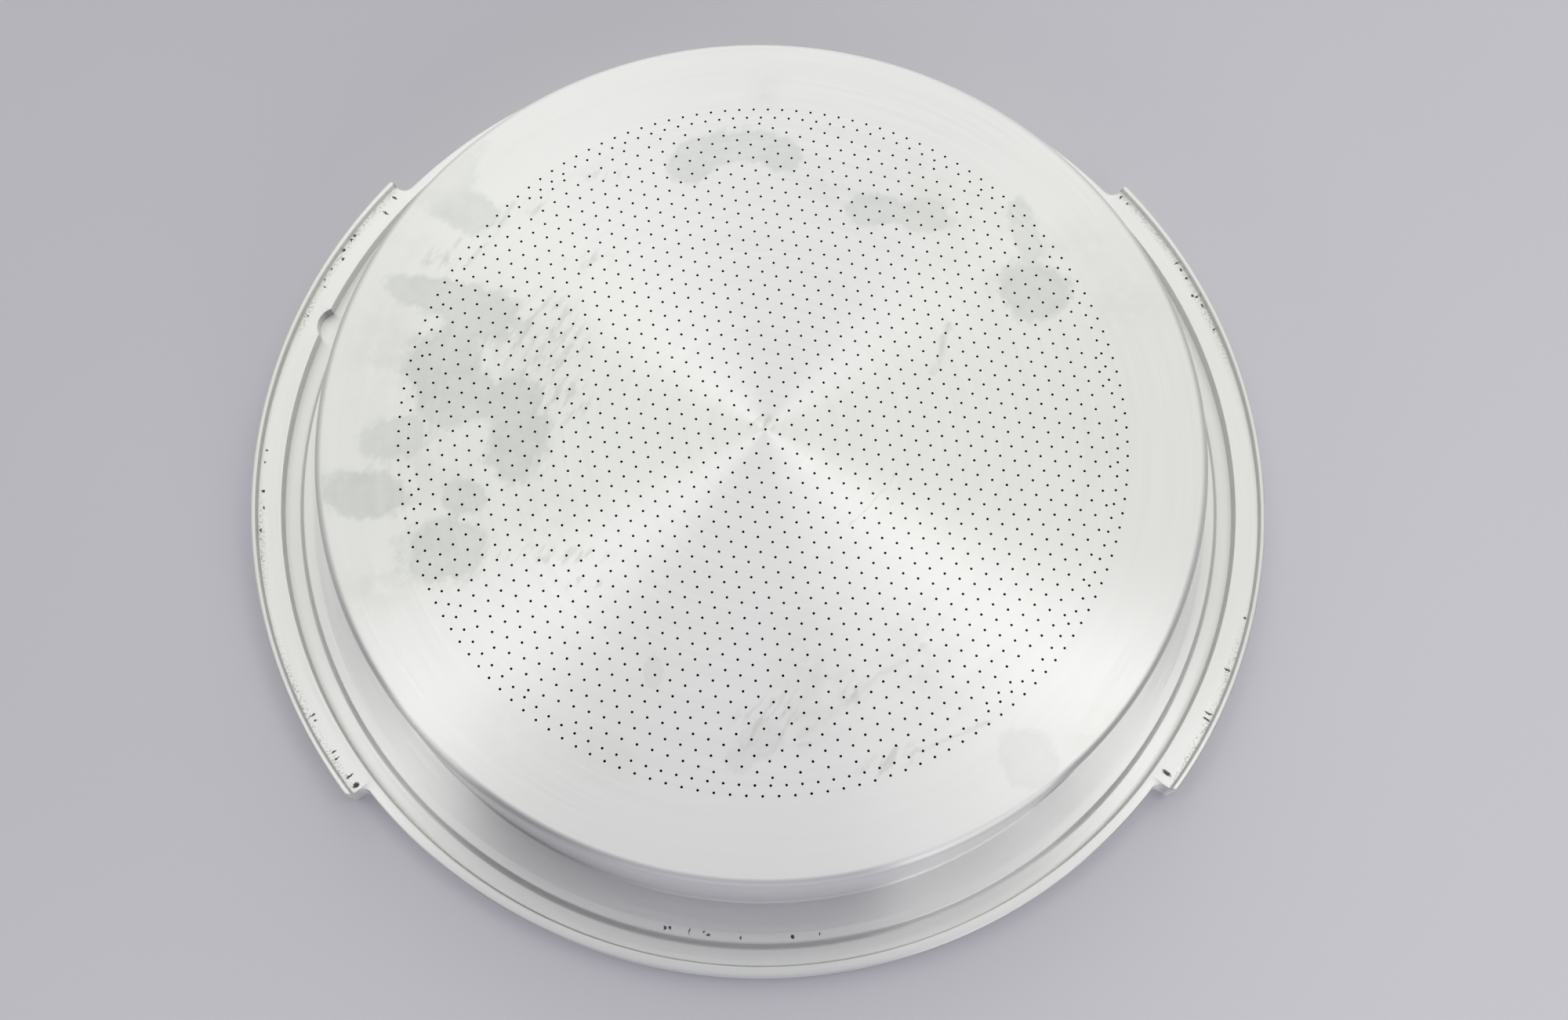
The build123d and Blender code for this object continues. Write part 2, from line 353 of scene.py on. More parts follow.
def outline_columns():
    """Angle, outside radius and rim flag of each column of the turned surface.

    Half an ear's outline runs from the ear's middle at the ear's radius, round the tip's arc, down the
    ear's end, which leans by a hair so that no two columns coincide, and round the root's arc to the
    flange's radius. The half is mirrored, and the ear is repeated round the axis."""
    half = EAR_ANGLE / 2
    tip_distance = EAR_RADIUS - EAR_TIP_RADIUS
    tip_turn = math.asin(EAR_TIP_RADIUS / tip_distance)
    root_distance = FLANGE_RADIUS + EAR_ROOT_RADIUS
    root_turn = math.asin(EAR_ROOT_RADIUS / root_distance)
    arc = np.linspace(0, 1, ARC_COLUMNS)
    tip = tip_distance * np.exp(1j * (half - tip_turn)) + EAR_TIP_RADIUS * np.exp(
        1j * (half - tip_turn + arc * (math.pi / 2 + tip_turn)))
    root = root_distance * np.exp(1j * (half + root_turn)) + EAR_ROOT_RADIUS * np.exp(
        1j * (half - math.pi / 2 - arc * (math.pi / 2 - root_turn)))
    end = np.array([RIM_INNER_RADIUS, RIM_INNER_RADIUS])
    along_ear = np.linspace(0, half - tip_turn, EAR_COLUMNS, endpoint=False)
    along_flange = np.linspace(half + root_turn, math.pi / EAR_COUNT, FLANGE_COLUMNS)[1:]
    angle = np.concatenate([along_ear, np.angle(tip), np.full(2, half), np.angle(root), along_flange])
    radius = np.concatenate([np.full(len(along_ear), EAR_RADIUS), np.abs(tip), end, np.abs(root),
                             np.full(len(along_flange), FLANGE_RADIUS)])
    rim = np.concatenate([np.ones(len(along_ear) + len(tip) + 1),
                          np.zeros(1 + len(root) + len(along_flange))])
    upright = np.abs(angle - half) < ANGLE_TOLERANCE
    angle = angle + COLUMN_GAP * np.cumsum(upright) * upright
    angle = np.concatenate([-angle[:0:-1], angle[:-1]])
    radius = np.concatenate([radius[:0:-1], radius[:-1]])
    rim = np.concatenate([rim[:0:-1], rim[:-1]])
    turns = 2 * math.pi * np.arange(EAR_COUNT) / EAR_COUNT
    angle = (turns[:, None] + angle[None]).ravel()
    radius, rim = np.tile(radius, EAR_COUNT), np.tile(rim, EAR_COUNT)
    notch = NOTCH_DIRECTION + np.linspace(-NOTCH_SPAN, NOTCH_SPAN, NOTCH_COLUMNS)
    places = np.searchsorted(angle, notch)
    return (np.insert(angle, places, notch), np.insert(radius, places, EAR_RADIUS),
            np.insert(rim, places, 1.0) > 0.5)


def channel_wall(angle):
    """Radius of the channel's outer wall: a circle, and in the notch the far side of the cutter's circle,
    whose distance along a ray is d cos a + sqrt(R squared - (d sin a) squared)."""
    distance = CHANNEL_OUTER_RADIUS + NOTCH_REACH - NOTCH_RADIUS
    turn = angle - NOTCH_DIRECTION
    across = distance * np.sin(turn)
    reach = distance * np.cos(turn) + np.sqrt(np.maximum(NOTCH_RADIUS**2 - across**2, 0))
    reach = np.maximum(reach, CHANNEL_OUTER_RADIUS)
    return np.where(np.abs(turn) < NOTCH_REGION, reach, CHANNEL_OUTER_RADIUS)


def evened(angle):
    """The columns' angles with crowded places drawn apart: the mean of each angle and its neighbours on
    both sides, going on round the axis."""
    before, after = angle[-EVENING_REACH:] - 2 * math.pi, angle[:EVENING_REACH] + 2 * math.pi
    count = 2 * EVENING_REACH + 1
    return np.convolve(np.concatenate([before, angle, after]), np.full(count, 1 / count), "valid")


def arc_rows(centre_r, centre_z, radius, start, end, steps):
    """Rows of an arc in the section: the centre plus the radius times the cosine and sine of angles from
    start to end, in degrees. Centre and radius may differ from column to column."""
    turns = np.radians(np.linspace(start, end, steps))
    return [(centre_r + radius * math.cos(a), centre_z + radius * math.sin(a)) for a in turns]


def drum_rows():
    """Rows (radius, height) of the face's flat margin, its rounded edge, the drum's leaning wall and the
    round at its foot."""
    lean = math.tan(DRUM_TAPER)
    taper = math.degrees(DRUM_TAPER)
    edge_z = FACE_HEIGHT - FACE_EDGE_RADIUS
    edge_r = DRUM_RADIUS - (edge_z - SEAT_HEIGHT) * lean - FACE_EDGE_RADIUS / math.cos(DRUM_TAPER)
    foot_z = SEAT_HEIGHT + DRUM_FOOT_RADIUS
    foot_r = DRUM_RADIUS - DRUM_FOOT_RADIUS * lean + DRUM_FOOT_RADIUS / math.cos(DRUM_TAPER)
    margin = np.linspace(DISC_RADIUS, edge_r - SUPPORT, FACE_MARGIN_ROWS)
    rows = [(radius, FACE_HEIGHT) for radius in margin]
    rows += arc_rows(edge_r, edge_z, FACE_EDGE_RADIUS, 90, taper, FACE_EDGE_ROWS)
    for height in (edge_z - SUPPORT, foot_z + SUPPORT):
        rows.append((DRUM_RADIUS - (height - SEAT_HEIGHT) * lean, height))
    rows += arc_rows(foot_r, foot_z, DRUM_FOOT_RADIUS, 180 + taper, 270, DRUM_FOOT_ROWS)
    return rows + [(foot_r + SUPPORT, SEAT_HEIGHT)]


def channel_rows(wall):
    """Rows of the seat, the shoulder, the channel's slope and floor, and its outer wall up to the land. The
    wall's radius is given for each column. An arc that touches two lines ends its radius times the tangent
    of half the angle between them away from their corner."""
    slope = math.degrees(math.atan2(CHANNEL_DEPTH, CHANNEL_SLOPE_WIDTH))
    tangent = math.tan(math.radians(slope / 2))
    top_r = SHOULDER_RADIUS - CHANNEL_EDGE_RADIUS * tangent
    top_z = SHOULDER_HEIGHT - CHANNEL_EDGE_RADIUS
    floor_r = CHANNEL_INNER_RADIUS + CHANNEL_FLOOR_RADIUS * tangent
    floor_z = CHANNEL_HEIGHT + CHANNEL_FLOOR_RADIUS
    corner_r = wall - CHANNEL_CORNER_RADIUS
    corner_z = CHANNEL_HEIGHT + CHANNEL_CORNER_RADIUS
    rows = [(SEAT_RADIUS, SEAT_HEIGHT), (SEAT_RADIUS, SHOULDER_HEIGHT), (top_r - SUPPORT, SHOULDER_HEIGHT)]
    rows += arc_rows(top_r, top_z, CHANNEL_EDGE_RADIUS, 90, 90 - slope, CHANNEL_EDGE_ROWS)
    rows += arc_rows(floor_r, floor_z, CHANNEL_FLOOR_RADIUS, 270 - slope, 270, CHANNEL_FLOOR_ROWS)
    rows += arc_rows(corner_r, corner_z, CHANNEL_CORNER_RADIUS, 270, 360, CHANNEL_CORNER_ROWS)
    rows += arc_rows(wall + SOFT_EDGE, LAND_HEIGHT - SOFT_EDGE, SOFT_EDGE, 180, 90, SOFT_EDGE_ROWS)
    return rows


def rim_rows(outer, rim):
    """Rows from the land over the outer edge down to the underside. On an ear the land's outer edge is
    carried up into the raised rim. Elsewhere the rim's rows all lie on the land's edge, where they merge."""
    foot_r = RIM_INNER_RADIUS - SOFT_EDGE
    foot_z = LAND_HEIGHT + SOFT_EDGE
    top = np.where(rim, RIM_TOP, LAND_HEIGHT)
    crest = np.where(rim, np.minimum(RIM_CREST_RADIUS, (outer - RIM_INNER_RADIUS) / 2), EDGE_BREAK)
    inner_side = arc_rows(foot_r, foot_z, SOFT_EDGE, 270, 360, SOFT_EDGE_ROWS)
    inner_side += arc_rows(RIM_INNER_RADIUS + crest, RIM_TOP - crest, crest, 180, 90, CREST_ROWS)
    rows = [(np.where(rim, r, outer - crest), np.where(rim, z, LAND_HEIGHT)) for r, z in inner_side]
    rows += arc_rows(outer - crest, top - crest, crest, 90, 0, CREST_ROWS)
    return rows + [(outer, EDGE_BREAK), (outer - EDGE_BREAK, 0)]


def underside_rows():
    """Rows of the seal groove, the bevel round the hollow's mouth, its wall and its corner, and the plate's
    underside as far as the disc."""
    groove_outer = SEAL_GROOVE_RADIUS + SEAL_GROOVE_WIDTH / 2
    groove_inner = SEAL_GROOVE_RADIUS - SEAL_GROOVE_WIDTH / 2
    corner_r = PLENUM_RADIUS - PLENUM_CORNER_RADIUS
    corner_z = PLENUM_HEIGHT - PLENUM_CORNER_RADIUS
    rows = [(groove_outer, 0), (groove_outer, SEAL_GROOVE_DEPTH)]
    rows += [(groove_inner, SEAL_GROOVE_DEPTH), (groove_inner, 0)]
    rows += [(PLENUM_RADIUS + PLENUM_MOUTH_BREAK, 0), (PLENUM_RADIUS, PLENUM_MOUTH_BREAK)]
    rows.append((PLENUM_RADIUS, corner_z - SUPPORT))
    rows += arc_rows(corner_r, corner_z, PLENUM_CORNER_RADIUS, 0, 90, PLENUM_CORNER_ROWS)
    return rows + [(corner_r - SUPPORT, PLENUM_HEIGHT), (DISC_RADIUS, PLENUM_HEIGHT)]


def between_holes(centres):
    """Points in the middle of the gaps between three holes of the rows: each hole of the field moved by a
    third of the row spacing backwards or forwards, square to its row, and by half a pitch along it."""
    field = centres[np.hypot(*centres.T) < FIELD_RADIUS - HOLE_PITCH]
    along = 0.5 * HOLE_PITCH * np.array([math.cos(ROW_DIRECTION), math.sin(ROW_DIRECTION)])
    across = ROW_SPACING / 3 * np.array([-math.sin(ROW_DIRECTION), math.cos(ROW_DIRECTION)])
    return np.concatenate([field + along + across, field + along - across])


def perforated_disc(rim, centres):
    """Points of the holes' outlines and between the holes, triangles of the flat disc between its rim and
    the outlines, and the outlines' edges.

    Every hole is a regular polygon about its centre. The plane is cut into triangles by a constrained
    Delaunay net of all outlines, and the triangles whose three corners lie on one hole are left out."""
    turn = 2 * math.pi * np.arange(HOLE_SIDES) / HOLE_SIDES
    shape = HOLE_RADIUS * np.stack([np.cos(turn), np.sin(turn)], 1)
    outlines = (centres[:, None] + shape[None]).reshape(-1, 2)
    between = between_holes(centres)
    points = np.concatenate([rim, outlines, between])
    hole_of = np.concatenate([np.full(len(rim), -1), np.repeat(np.arange(len(centres)), HOLE_SIDES),
                              np.full(len(between), -1)])
    start = len(rim) + np.arange(len(outlines))
    step = np.where(np.arange(len(outlines)) % HOLE_SIDES == HOLE_SIDES - 1, 1 - HOLE_SIDES, 1)
    edges = np.concatenate([np.stack([np.arange(len(rim)), np.roll(np.arange(len(rim)), -1)], 1),
                            np.stack([start, start + step], 1)])
    net = delaunay_2d_cdt(points.tolist(), edges.tolist(), [], 0, NET_TOLERANCE, True)
    source = np.array(net[3])[:, 0]
    triangles = source[np.array(net[2])]
    holes = hole_of[triangles]
    filled = (holes[:, 0] == holes[:, 1]) & (holes[:, 1] == holes[:, 2]) & (holes[:, 0] >= 0)
    triangles = triangles[~filled]
    a, b, c = (points[triangles[:, k]] for k in range(3))
    turned = (b - a)[:, 0] * (c - a)[:, 1] - (b - a)[:, 1] * (c - a)[:, 0] < 0
    triangles[turned] = triangles[turned][:, ::-1]
    return np.concatenate([outlines, between]), triangles, np.stack([start, start + step], 1) - len(rim)


def showerhead_mesh():
    """The closed surface of the part: the section's rows carried round the axis, one column at each angle
    of the outline, closed in the middle by the perforated plate's top, its underside and the holes' walls.

    The rows run from the disc's top rim outwards, and back along the underside into the hollow. Each has
    one radius and one height for each column. The columns stand evened out at the disc's rim, and go over
    to their own angles within the flat beside it."""
    angle, outer, rim = outline_columns()
    columns = len(angle)
    rows = drum_rows() + channel_rows(channel_wall(angle)) + rim_rows(outer, rim) + underside_rows()
    radius = np.array([np.broadcast_to(r, columns) for r, _ in rows])
    height = np.array([np.broadcast_to(z, columns) for _, z in rows])
    own = np.clip((radius - DISC_RADIUS) / EVENING_WIDTH, 0, 1)
    turn = evened(angle) + own * (angle - evened(angle))
    turned = np.stack([radius * np.cos(turn), radius * np.sin(turn), height], -1).reshape(-1, 3)
    grid = np.arange(len(rows) * columns).reshape(len(rows), columns)
    following = np.roll(grid, -1, 1)
    quads = np.stack([grid[:-1], grid[1:], following[1:], following[:-1]], -1).reshape(-1, 4)

    outlines, triangles, walls = perforated_disc(turned[:columns, :2], hole_centres())
    count = len(outlines)
    plate = [np.column_stack([outlines, np.full(count, z)]) for z in (FACE_HEIGHT, PLENUM_HEIGHT)]
    top, bottom = len(turned), len(turned) + count
    above = np.where(triangles < columns, triangles, triangles - columns + top)
    below = np.where(triangles < columns, triangles + grid[-1, 0], triangles - columns + bottom)[:, ::-1]
    sides = np.stack([walls[:, 0] + top, walls[:, 1] + top, walls[:, 1] + bottom, walls[:, 0] + bottom], -1)

    vertices = np.concatenate([turned, *plate]) * MM
    faces = quads.tolist() + above.tolist() + below.tolist() + sides.tolist()
    mesh = bpy.data.meshes.new("showerhead_body")
    mesh.from_pydata(vertices.tolist(), [], faces)
    merge = bmesh.new()
    merge.from_mesh(mesh)
    bmesh.ops.remove_doubles(merge, verts=merge.verts, dist=MERGE_DISTANCE)
    merge.to_mesh(mesh)
    merge.free()
    mesh.validate()
    mesh.shade_smooth()
    mesh.set_sharp_from_angle(angle=CREASE)
    write_wear(mesh)
    choose_materials(mesh)
    return mesh


def swell(x, y, places):
    """How deep each point lies in each ellipse of a list: 2 to the power of minus the squared distance from
    the middle, measured in the ellipse's radii along its turned axes. It is a half on the ellipse itself."""
    middle_x, middle_y, radius_x, radius_y, turn = np.array(places).T[:5, :, None]
    cosine, sine = np.cos(np.radians(turn)), np.sin(np.radians(turn))
    along = ((x - middle_x) * cosine + (y - middle_y) * sine) / radius_x
    across = ((y - middle_y) * cosine - (x - middle_x) * sine) / radius_y
    return 2.0 ** -(along**2 + across**2)


def write_wear(mesh):
    """Values at each vertex of the face: how deep it lies in the nearest stain, the stains' depth there,
    and the strongest cloud and speckled area. The depth is the mean of all, each weighted by the fourth
    power of how deep the point lies in it. The values are 0 below the face. Scuff is set all round, by
    direction alone: 2 to the power of minus the squared angle from the nearest scuffed stretch's middle, in
    its half lengths."""
    points = np.empty(3 * len(mesh.vertices))
    mesh.vertices.foreach_get("co", points)
    x, y, z = points.reshape(-1, 3).T / MM
    on_face = z > FACE_HEIGHT - HAIR
    stains = swell(x, y, STAINS)
    weights = stains**4 + LEAST_WEIGHT
    values = {"stain_edge": stains.max(0),
              "stain_depth": (weights * np.array(STAINS)[:, 5, None]).sum(0) / weights.sum(0),
              "cloud": (swell(x, y, CLOUDS) * np.array(CLOUDS)[:, 5, None]).max(0),
              "speckle": (swell(x, y, SPECKLES) * np.array(SPECKLES)[:, 5, None]).max(0)}
    values = {name: value * on_face for name, value in values.items()}
    middle, half = np.array(SCUFFS).T[:, :, None]
    apart = (np.degrees(np.arctan2(y, x)) - middle + 180) % 360 - 180
    values["scuff"] = (2.0 ** -((apart / half) ** 2)).max(0)
    for name, value in values.items():
        mesh.attributes.new(name, "FLOAT", "POINT").data.foreach_set("value", value)


def choose_materials(mesh):
    """Material 0 for the drum and the underside, 1 for the face, 2 for the flange's upper side outside the
    seat, which has nicks, and 3 for the walls of the orifices."""
    centre, normal = np.empty(3 * len(mesh.polygons)), np.empty(3 * len(mesh.polygons))
    mesh.polygons.foreach_get("center", centre)
    mesh.polygons.foreach_get("normal", normal)
    x, y, z = centre.reshape(-1, 3).T / MM
    radius = np.hypot(x, y)
    up = normal.reshape(-1, 3)[:, 2]
    choice = np.zeros(len(mesh.polygons), dtype=np.int32)
    choice[z > FACE_HEIGHT - HAIR] = 1
    choice[(up > LEVEL) & (radius > SEAT_RADIUS) & (z < RIM_TOP)] = 2
    choice[(radius < DISC_RADIUS) & (np.abs(up) < UPRIGHT)] = 3
    mesh.polygons.foreach_set("material_index", choice)


class Nodes:
    """Places the nodes of one tree from left to right and links them."""

    def __init__(self, tree):
        self.tree = tree
        self.count = 0

    def add(self, kind, settings=(), **links):
        """One node of a kind, with its own settings and its inputs by name: a value or another node's
        socket."""
        node = self.tree.nodes.new(kind)
        self.count += 1
        row, place = divmod(self.count, NODES_IN_ROW)
        node.location = (NODE_WIDTH * place, -NODE_HEIGHT * row)
        for name, value in dict(settings).items():
            setattr(node, name, value)
        for name, value in links.items():
            self.put(node, name, value)
        return node

    def put(self, node, name, value):
        """Feeds a socket, named in plain words or by number, with a value or with a link."""
        key = int(name[1:]) if name[0] == "_" and name[1:].isdigit() else name.replace("_", " ")
        socket = node.inputs[key]
        if isinstance(value, bpy.types.NodeSocket):
            self.tree.links.new(value, socket)
        else:
            socket.default_value = value

    def math(self, operation, a, b=0.0, clamp=False):
        """The value of an operation on one or two values."""
        node = self.add("ShaderNodeMath", {"operation": operation, "use_clamp": clamp}, _0=a, _1=b)
        return node.outputs[0]

    def sway(self, value, noise, amount):
        """A value plus an amount times what a noise has over its middle, 0.5."""
        return self.math("ADD", value, self.math("MULTIPLY", self.math("SUBTRACT", noise, 0.5), amount))

    def ramp(self, value, low, high, to_low=0.0, to_high=1.0):
        """A smooth step from to_low at low to to_high at high."""
        node = self.add("ShaderNodeMapRange", {"interpolation_type": "SMOOTHSTEP"}, Value=value,
                        From_Min=low, From_Max=high, To_Min=to_low, To_Max=to_high)
        return node.outputs[0]

    def noise(self, vector, scale, detail=3.0, roughness=0.55):
        """Noise in three dimensions, about 0.5."""
        node = self.add("ShaderNodeTexNoise", {}, Vector=vector, Scale=scale, Detail=detail,
                        Roughness=roughness)
        return node.outputs[0]

    def vector(self, operation, a, b, c=(0, 0, 0)):
        """The vector that an operation gives from two or three vectors."""
        return self.add("ShaderNodeVectorMath", {"operation": operation}, _0=a, _1=b, _2=c).outputs[0]

    def dot(self, a, b):
        """The dot product of two vectors."""
        return self.add("ShaderNodeVectorMath", {"operation": "DOT_PRODUCT"}, _0=a, _1=b).outputs[1]

    def length(self, vector):
        """The length of a vector."""
        return self.add("ShaderNodeVectorMath", {"operation": "LENGTH"}, _0=vector).outputs[1]

    def turn(self, vector, angle):
        """A vector turned round the Z axis."""
        settings = {"rotation_type": "Z_AXIS"}
        return self.add("ShaderNodeVectorRotate", settings, Vector=vector, Angle=angle).outputs[0]

    def attribute(self, name):
        """The value of one of the mesh's own attributes."""
        return self.add("ShaderNodeAttribute", {"attribute_name": name}).outputs["Fac"]

    def mix(self, factor, a, b):
        """A colour from a to b."""
        node = self.add("ShaderNodeMix", {"data_type": "RGBA"})
        for index, value in ((0, factor), (6, a), (7, b)):
            self.put(node, f"_{index}", value)
        return node.outputs[2]


def new_group(name, inputs, outputs):
    """An empty node group with its named sockets: {name: (socket kind, default)} in, {name: kind} out."""
    tree = bpy.data.node_groups.new(name, "ShaderNodeTree")
    for label, (kind, value) in inputs.items():
        socket = tree.interface.new_socket(label, in_out="INPUT", socket_type=kind)
        socket.default_value = value
    for label, kind in outputs.items():
        tree.interface.new_socket(label, in_out="OUTPUT", socket_type=kind)
    nodes = Nodes(tree)
    return nodes, nodes.add("NodeGroupInput").outputs, nodes.add("NodeGroupOutput")


def turning_marks_group():
    """Fine circular tool marks: noise on (x, y, radius), slow along x and y and as fine as the feed on the
    radius, so that it runs in rings with no seam. Height is for roughness and Tone for colour."""
    sockets = {"Position": (VECTOR, (0, 0, 0)), "Feed mm": (FLOAT, 0.3)}
    nodes, given, result = new_group("Turning marks", sockets, {"Height": FLOAT, "Tone": FLOAT})
    radius = nodes.length(nodes.vector("MULTIPLY", given["Position"], FLAT))
    x, y, z = nodes.add("ShaderNodeSeparateXYZ", {}, Vector=given["Position"]).outputs
    per_feed = nodes.math("DIVIDE", 1 / MM, given["Feed mm"])
    rings = nodes.math("MULTIPLY", nodes.math("ADD", radius, z), per_feed)
    fine = nodes.add("ShaderNodeCombineXYZ", {}, X=nodes.math("MULTIPLY", x, FINE_DRIFT),
                     Y=nodes.math("MULTIPLY", y, FINE_DRIFT), Z=rings).outputs[0]
    broad = nodes.add("ShaderNodeCombineXYZ", {}, X=nodes.math("MULTIPLY", x, BROAD_DRIFT),
                      Y=nodes.math("MULTIPLY", y, BROAD_DRIFT),
                      Z=nodes.math("MULTIPLY", radius, BROAD_RINGS)).outputs[0]
    nodes.put(result, "Height", nodes.noise(fine, 1.0, FINE_DETAIL))
    nodes.put(result, "Tone", nodes.noise(broad, 1.0, FINE_DETAIL))
    return nodes.tree


def nick_group():
    """One nick: the distance from its middle, turned and divided by its two radii, stepped from 1 inside to
    0 outside. What is in Before stays, if it is more."""
    nodes, given, result = new_group("Nick", {
        "Position": (VECTOR, (0, 0, 0)), "Before": (FLOAT, 0.0), "Centre": (VECTOR, (0, 0, 0)),
        "Radii": (VECTOR, (0.01, 0.01, 1)), "Turn": (FLOAT, 0.0)}, {"Mask": FLOAT})
    away = nodes.vector("SUBTRACT", given["Position"], given["Centre"])
    away = nodes.turn(away, nodes.math("MULTIPLY", given["Turn"], -1.0))
    away = nodes.vector("MULTIPLY", nodes.vector("DIVIDE", away, given["Radii"]), FLAT)
    mask = nodes.ramp(nodes.length(away), *NICK_EDGE, 1.0, 0.0)
    nodes.put(result, "Mask", nodes.math("MAXIMUM", mask, given["Before"]))
    return nodes.tree


def scratch_group():
    """One scratch: the distance from a circle, falling from 1 on it to 0 at its half width, within the
    angle that it spans, measured by the cosine to its middle direction, times its depth. What is in Before
    stays, if it is more."""
    nodes, given, result = new_group("Scratch", {
        "Position": (VECTOR, (0, 0, 0)), "Before": (FLOAT, 0.0), "Centre": (VECTOR, (0, 0, 0)),
        "Direction": (VECTOR, (1, 0, 0)), "Radius": (FLOAT, 0.03), "Cosine": (FLOAT, 0.9),
        "Width": (FLOAT, 0.0002), "Depth": (FLOAT, 1.0)}, {"Mask": FLOAT})
    away = nodes.vector("SUBTRACT", given["Position"], given["Centre"])
    length = nodes.length(away)
    off = nodes.math("ABSOLUTE", nodes.math("SUBTRACT", length, given["Radius"]))
    line = nodes.math("SUBTRACT", 1.0, nodes.math("DIVIDE", off, given["Width"]), True)
    along = nodes.dot(away, given["Direction"])
    within = nodes.math("GREATER_THAN", along, nodes.math("MULTIPLY", length, given["Cosine"]))
    mask = nodes.math("MULTIPLY", nodes.math("MULTIPLY", line, within), given["Depth"])
    nodes.put(result, "Mask", nodes.math("MAXIMUM", mask, given["Before"]))
    return nodes.tree


def chain(nodes, group, position, marks):
    """Feeds each mark's group with the mask of those before it and gives the last mask."""
    mask = 0.0
    for mark in marks:
        node = nodes.add("ShaderNodeGroup", {"node_tree": group}, Position=position, Before=mask, **mark)
        mask = node.outputs[0]
    return mask


def nicks():
    """Inputs of the Nick group for each nick."""
    inputs = []
    for direction, radius, half_length, half_width in NICKS:
        turn = math.radians(direction)
        inputs.append({"Centre": (radius * math.cos(turn) * MM, radius * math.sin(turn) * MM, 0),
                       "Radii": (half_length * MM, half_width * MM, 1), "Turn": turn})
    return inputs


def scratches():
    """Inputs of the Scratch group for each scratch."""
    inputs = []
    for x, y, radius, direction, half_angle, half_width, depth in SCRATCHES:
        turn = math.radians(direction)
        inputs.append({"Centre": (x * MM, y * MM, FACE_HEIGHT * MM), "Radius": radius * MM,
                       "Direction": (math.cos(turn), math.sin(turn), 0),
                       "Cosine": math.cos(math.radians(half_angle)), "Width": half_width * MM,
                       "Depth": depth})
    return inputs


def turned_metal(name, marks, roughness, anisotropy):
    """A bright metal with tool marks in rings. Gives the material, its nodes, the shader, the position, and
    the clean colour, to which a surface adds its own marks.

    The tangent runs round the axis, as the tool marks do: the axis crossed with the position. The quarter
    turn of the anisotropy stretches the highlights across the marks."""
    material = bpy.data.materials.new(name)
    material.use_nodes = True
    material.node_tree.nodes.clear()
    nodes = Nodes(material.node_tree)
    position = nodes.add("ShaderNodeTexCoord").outputs["Object"]
    metal = nodes.add("ShaderNodeBsdfPrincipled", {}, Metallic=1.0, Anisotropic=anisotropy,
                      Anisotropic_Rotation=QUARTER_TURN)
    nodes.add("ShaderNodeOutputMaterial", {}, Surface=metal.outputs[0])
    nodes.put(metal, "Tangent", nodes.vector("CROSS_PRODUCT", (0, 0, 1), position))
    turning = nodes.add("ShaderNodeGroup", {"node_tree": marks}, Position=position, Feed_mm=TOOL_FEED)
    swing = nodes.math("MULTIPLY", turning.outputs["Height"], ROUGHNESS_SWING)
    nodes.put(metal, "Roughness", nodes.math("ADD", roughness - ROUGHNESS_SWING / 2, swing))
    clean = nodes.mix(turning.outputs["Tone"], CLEAN_LIGHT, CLEAN_DARK)
    nodes.put(metal, "Base Color", clean)
    return material, nodes, metal, position, clean


def face_material(marks, scratch):
    """The face: turned metal with grey stains, soft clouds, specks and thin scratches. The stains' edges
    wander by two noises added to how deep a point lies in a stain, one of them drawn out into wiping
    strokes."""
    material, nodes, metal, position, colour = turned_metal(
        "turned_face", marks, FACE_ROUGHNESS, FACE_ANISOTROPY)
    wander = nodes.noise(position, WANDER_SCALE, *WEAR_NOISE)
    drawn_out = nodes.vector("MULTIPLY", nodes.turn(position, STROKE_TURN), STROKE_SQUEEZE)
    strokes = nodes.noise(drawn_out, STROKE_SCALE, *WEAR_NOISE)

    edge = nodes.sway(nodes.attribute("stain_edge"), wander, WANDER_SWAY)
    edge = nodes.sway(edge, strokes, STROKE_SWAY)
    border = nodes.math("MULTIPLY", nodes.ramp(edge, *BORDER_RISE), nodes.ramp(edge, *BORDER_FALL, 1.0, 0.0))
    depth = nodes.math("MULTIPLY", nodes.attribute("stain_depth"), nodes.ramp(wander, *MOTTLE))
    depth = nodes.math("ADD", depth, nodes.math("MULTIPLY", border, BORDER_DEPTH))
    stain = nodes.math("MULTIPLY", nodes.ramp(edge, *STAIN_EDGE), depth)
    haze = nodes.math("MULTIPLY", nodes.attribute("cloud"), nodes.ramp(wander, *CLOUD_EDGE))
    colour = nodes.mix(haze, colour, CLOUD_COLOUR)
    colour = nodes.mix(nodes.math("MAXIMUM", stain, 0.0, True), colour, STAIN_COLOUR)

    area = nodes.ramp(nodes.attribute("speckle"), *SPECK_AREA)
    specks = nodes.math("MULTIPLY", nodes.ramp(strokes, *SPECK_EDGE), area)
    colour = nodes.mix(nodes.math("MULTIPLY", specks, SPECK_DEPTH), colour, SPECK_COLOUR)

    waver = nodes.vector("MULTIPLY_ADD", wander, (WAVER, -WAVER, 0), position)
    waver = nodes.vector("SUBTRACT", waver, (WAVER / 2, -WAVER / 2, 0))
    lines = chain(nodes, scratch, waver, scratches())
    lines = nodes.math("MULTIPLY", lines, nodes.ramp(wander, *SCRATCH_DEPTH))
    nodes.put(metal, "Base Color", nodes.mix(lines, colour, SCRATCH_COLOUR))
    return material


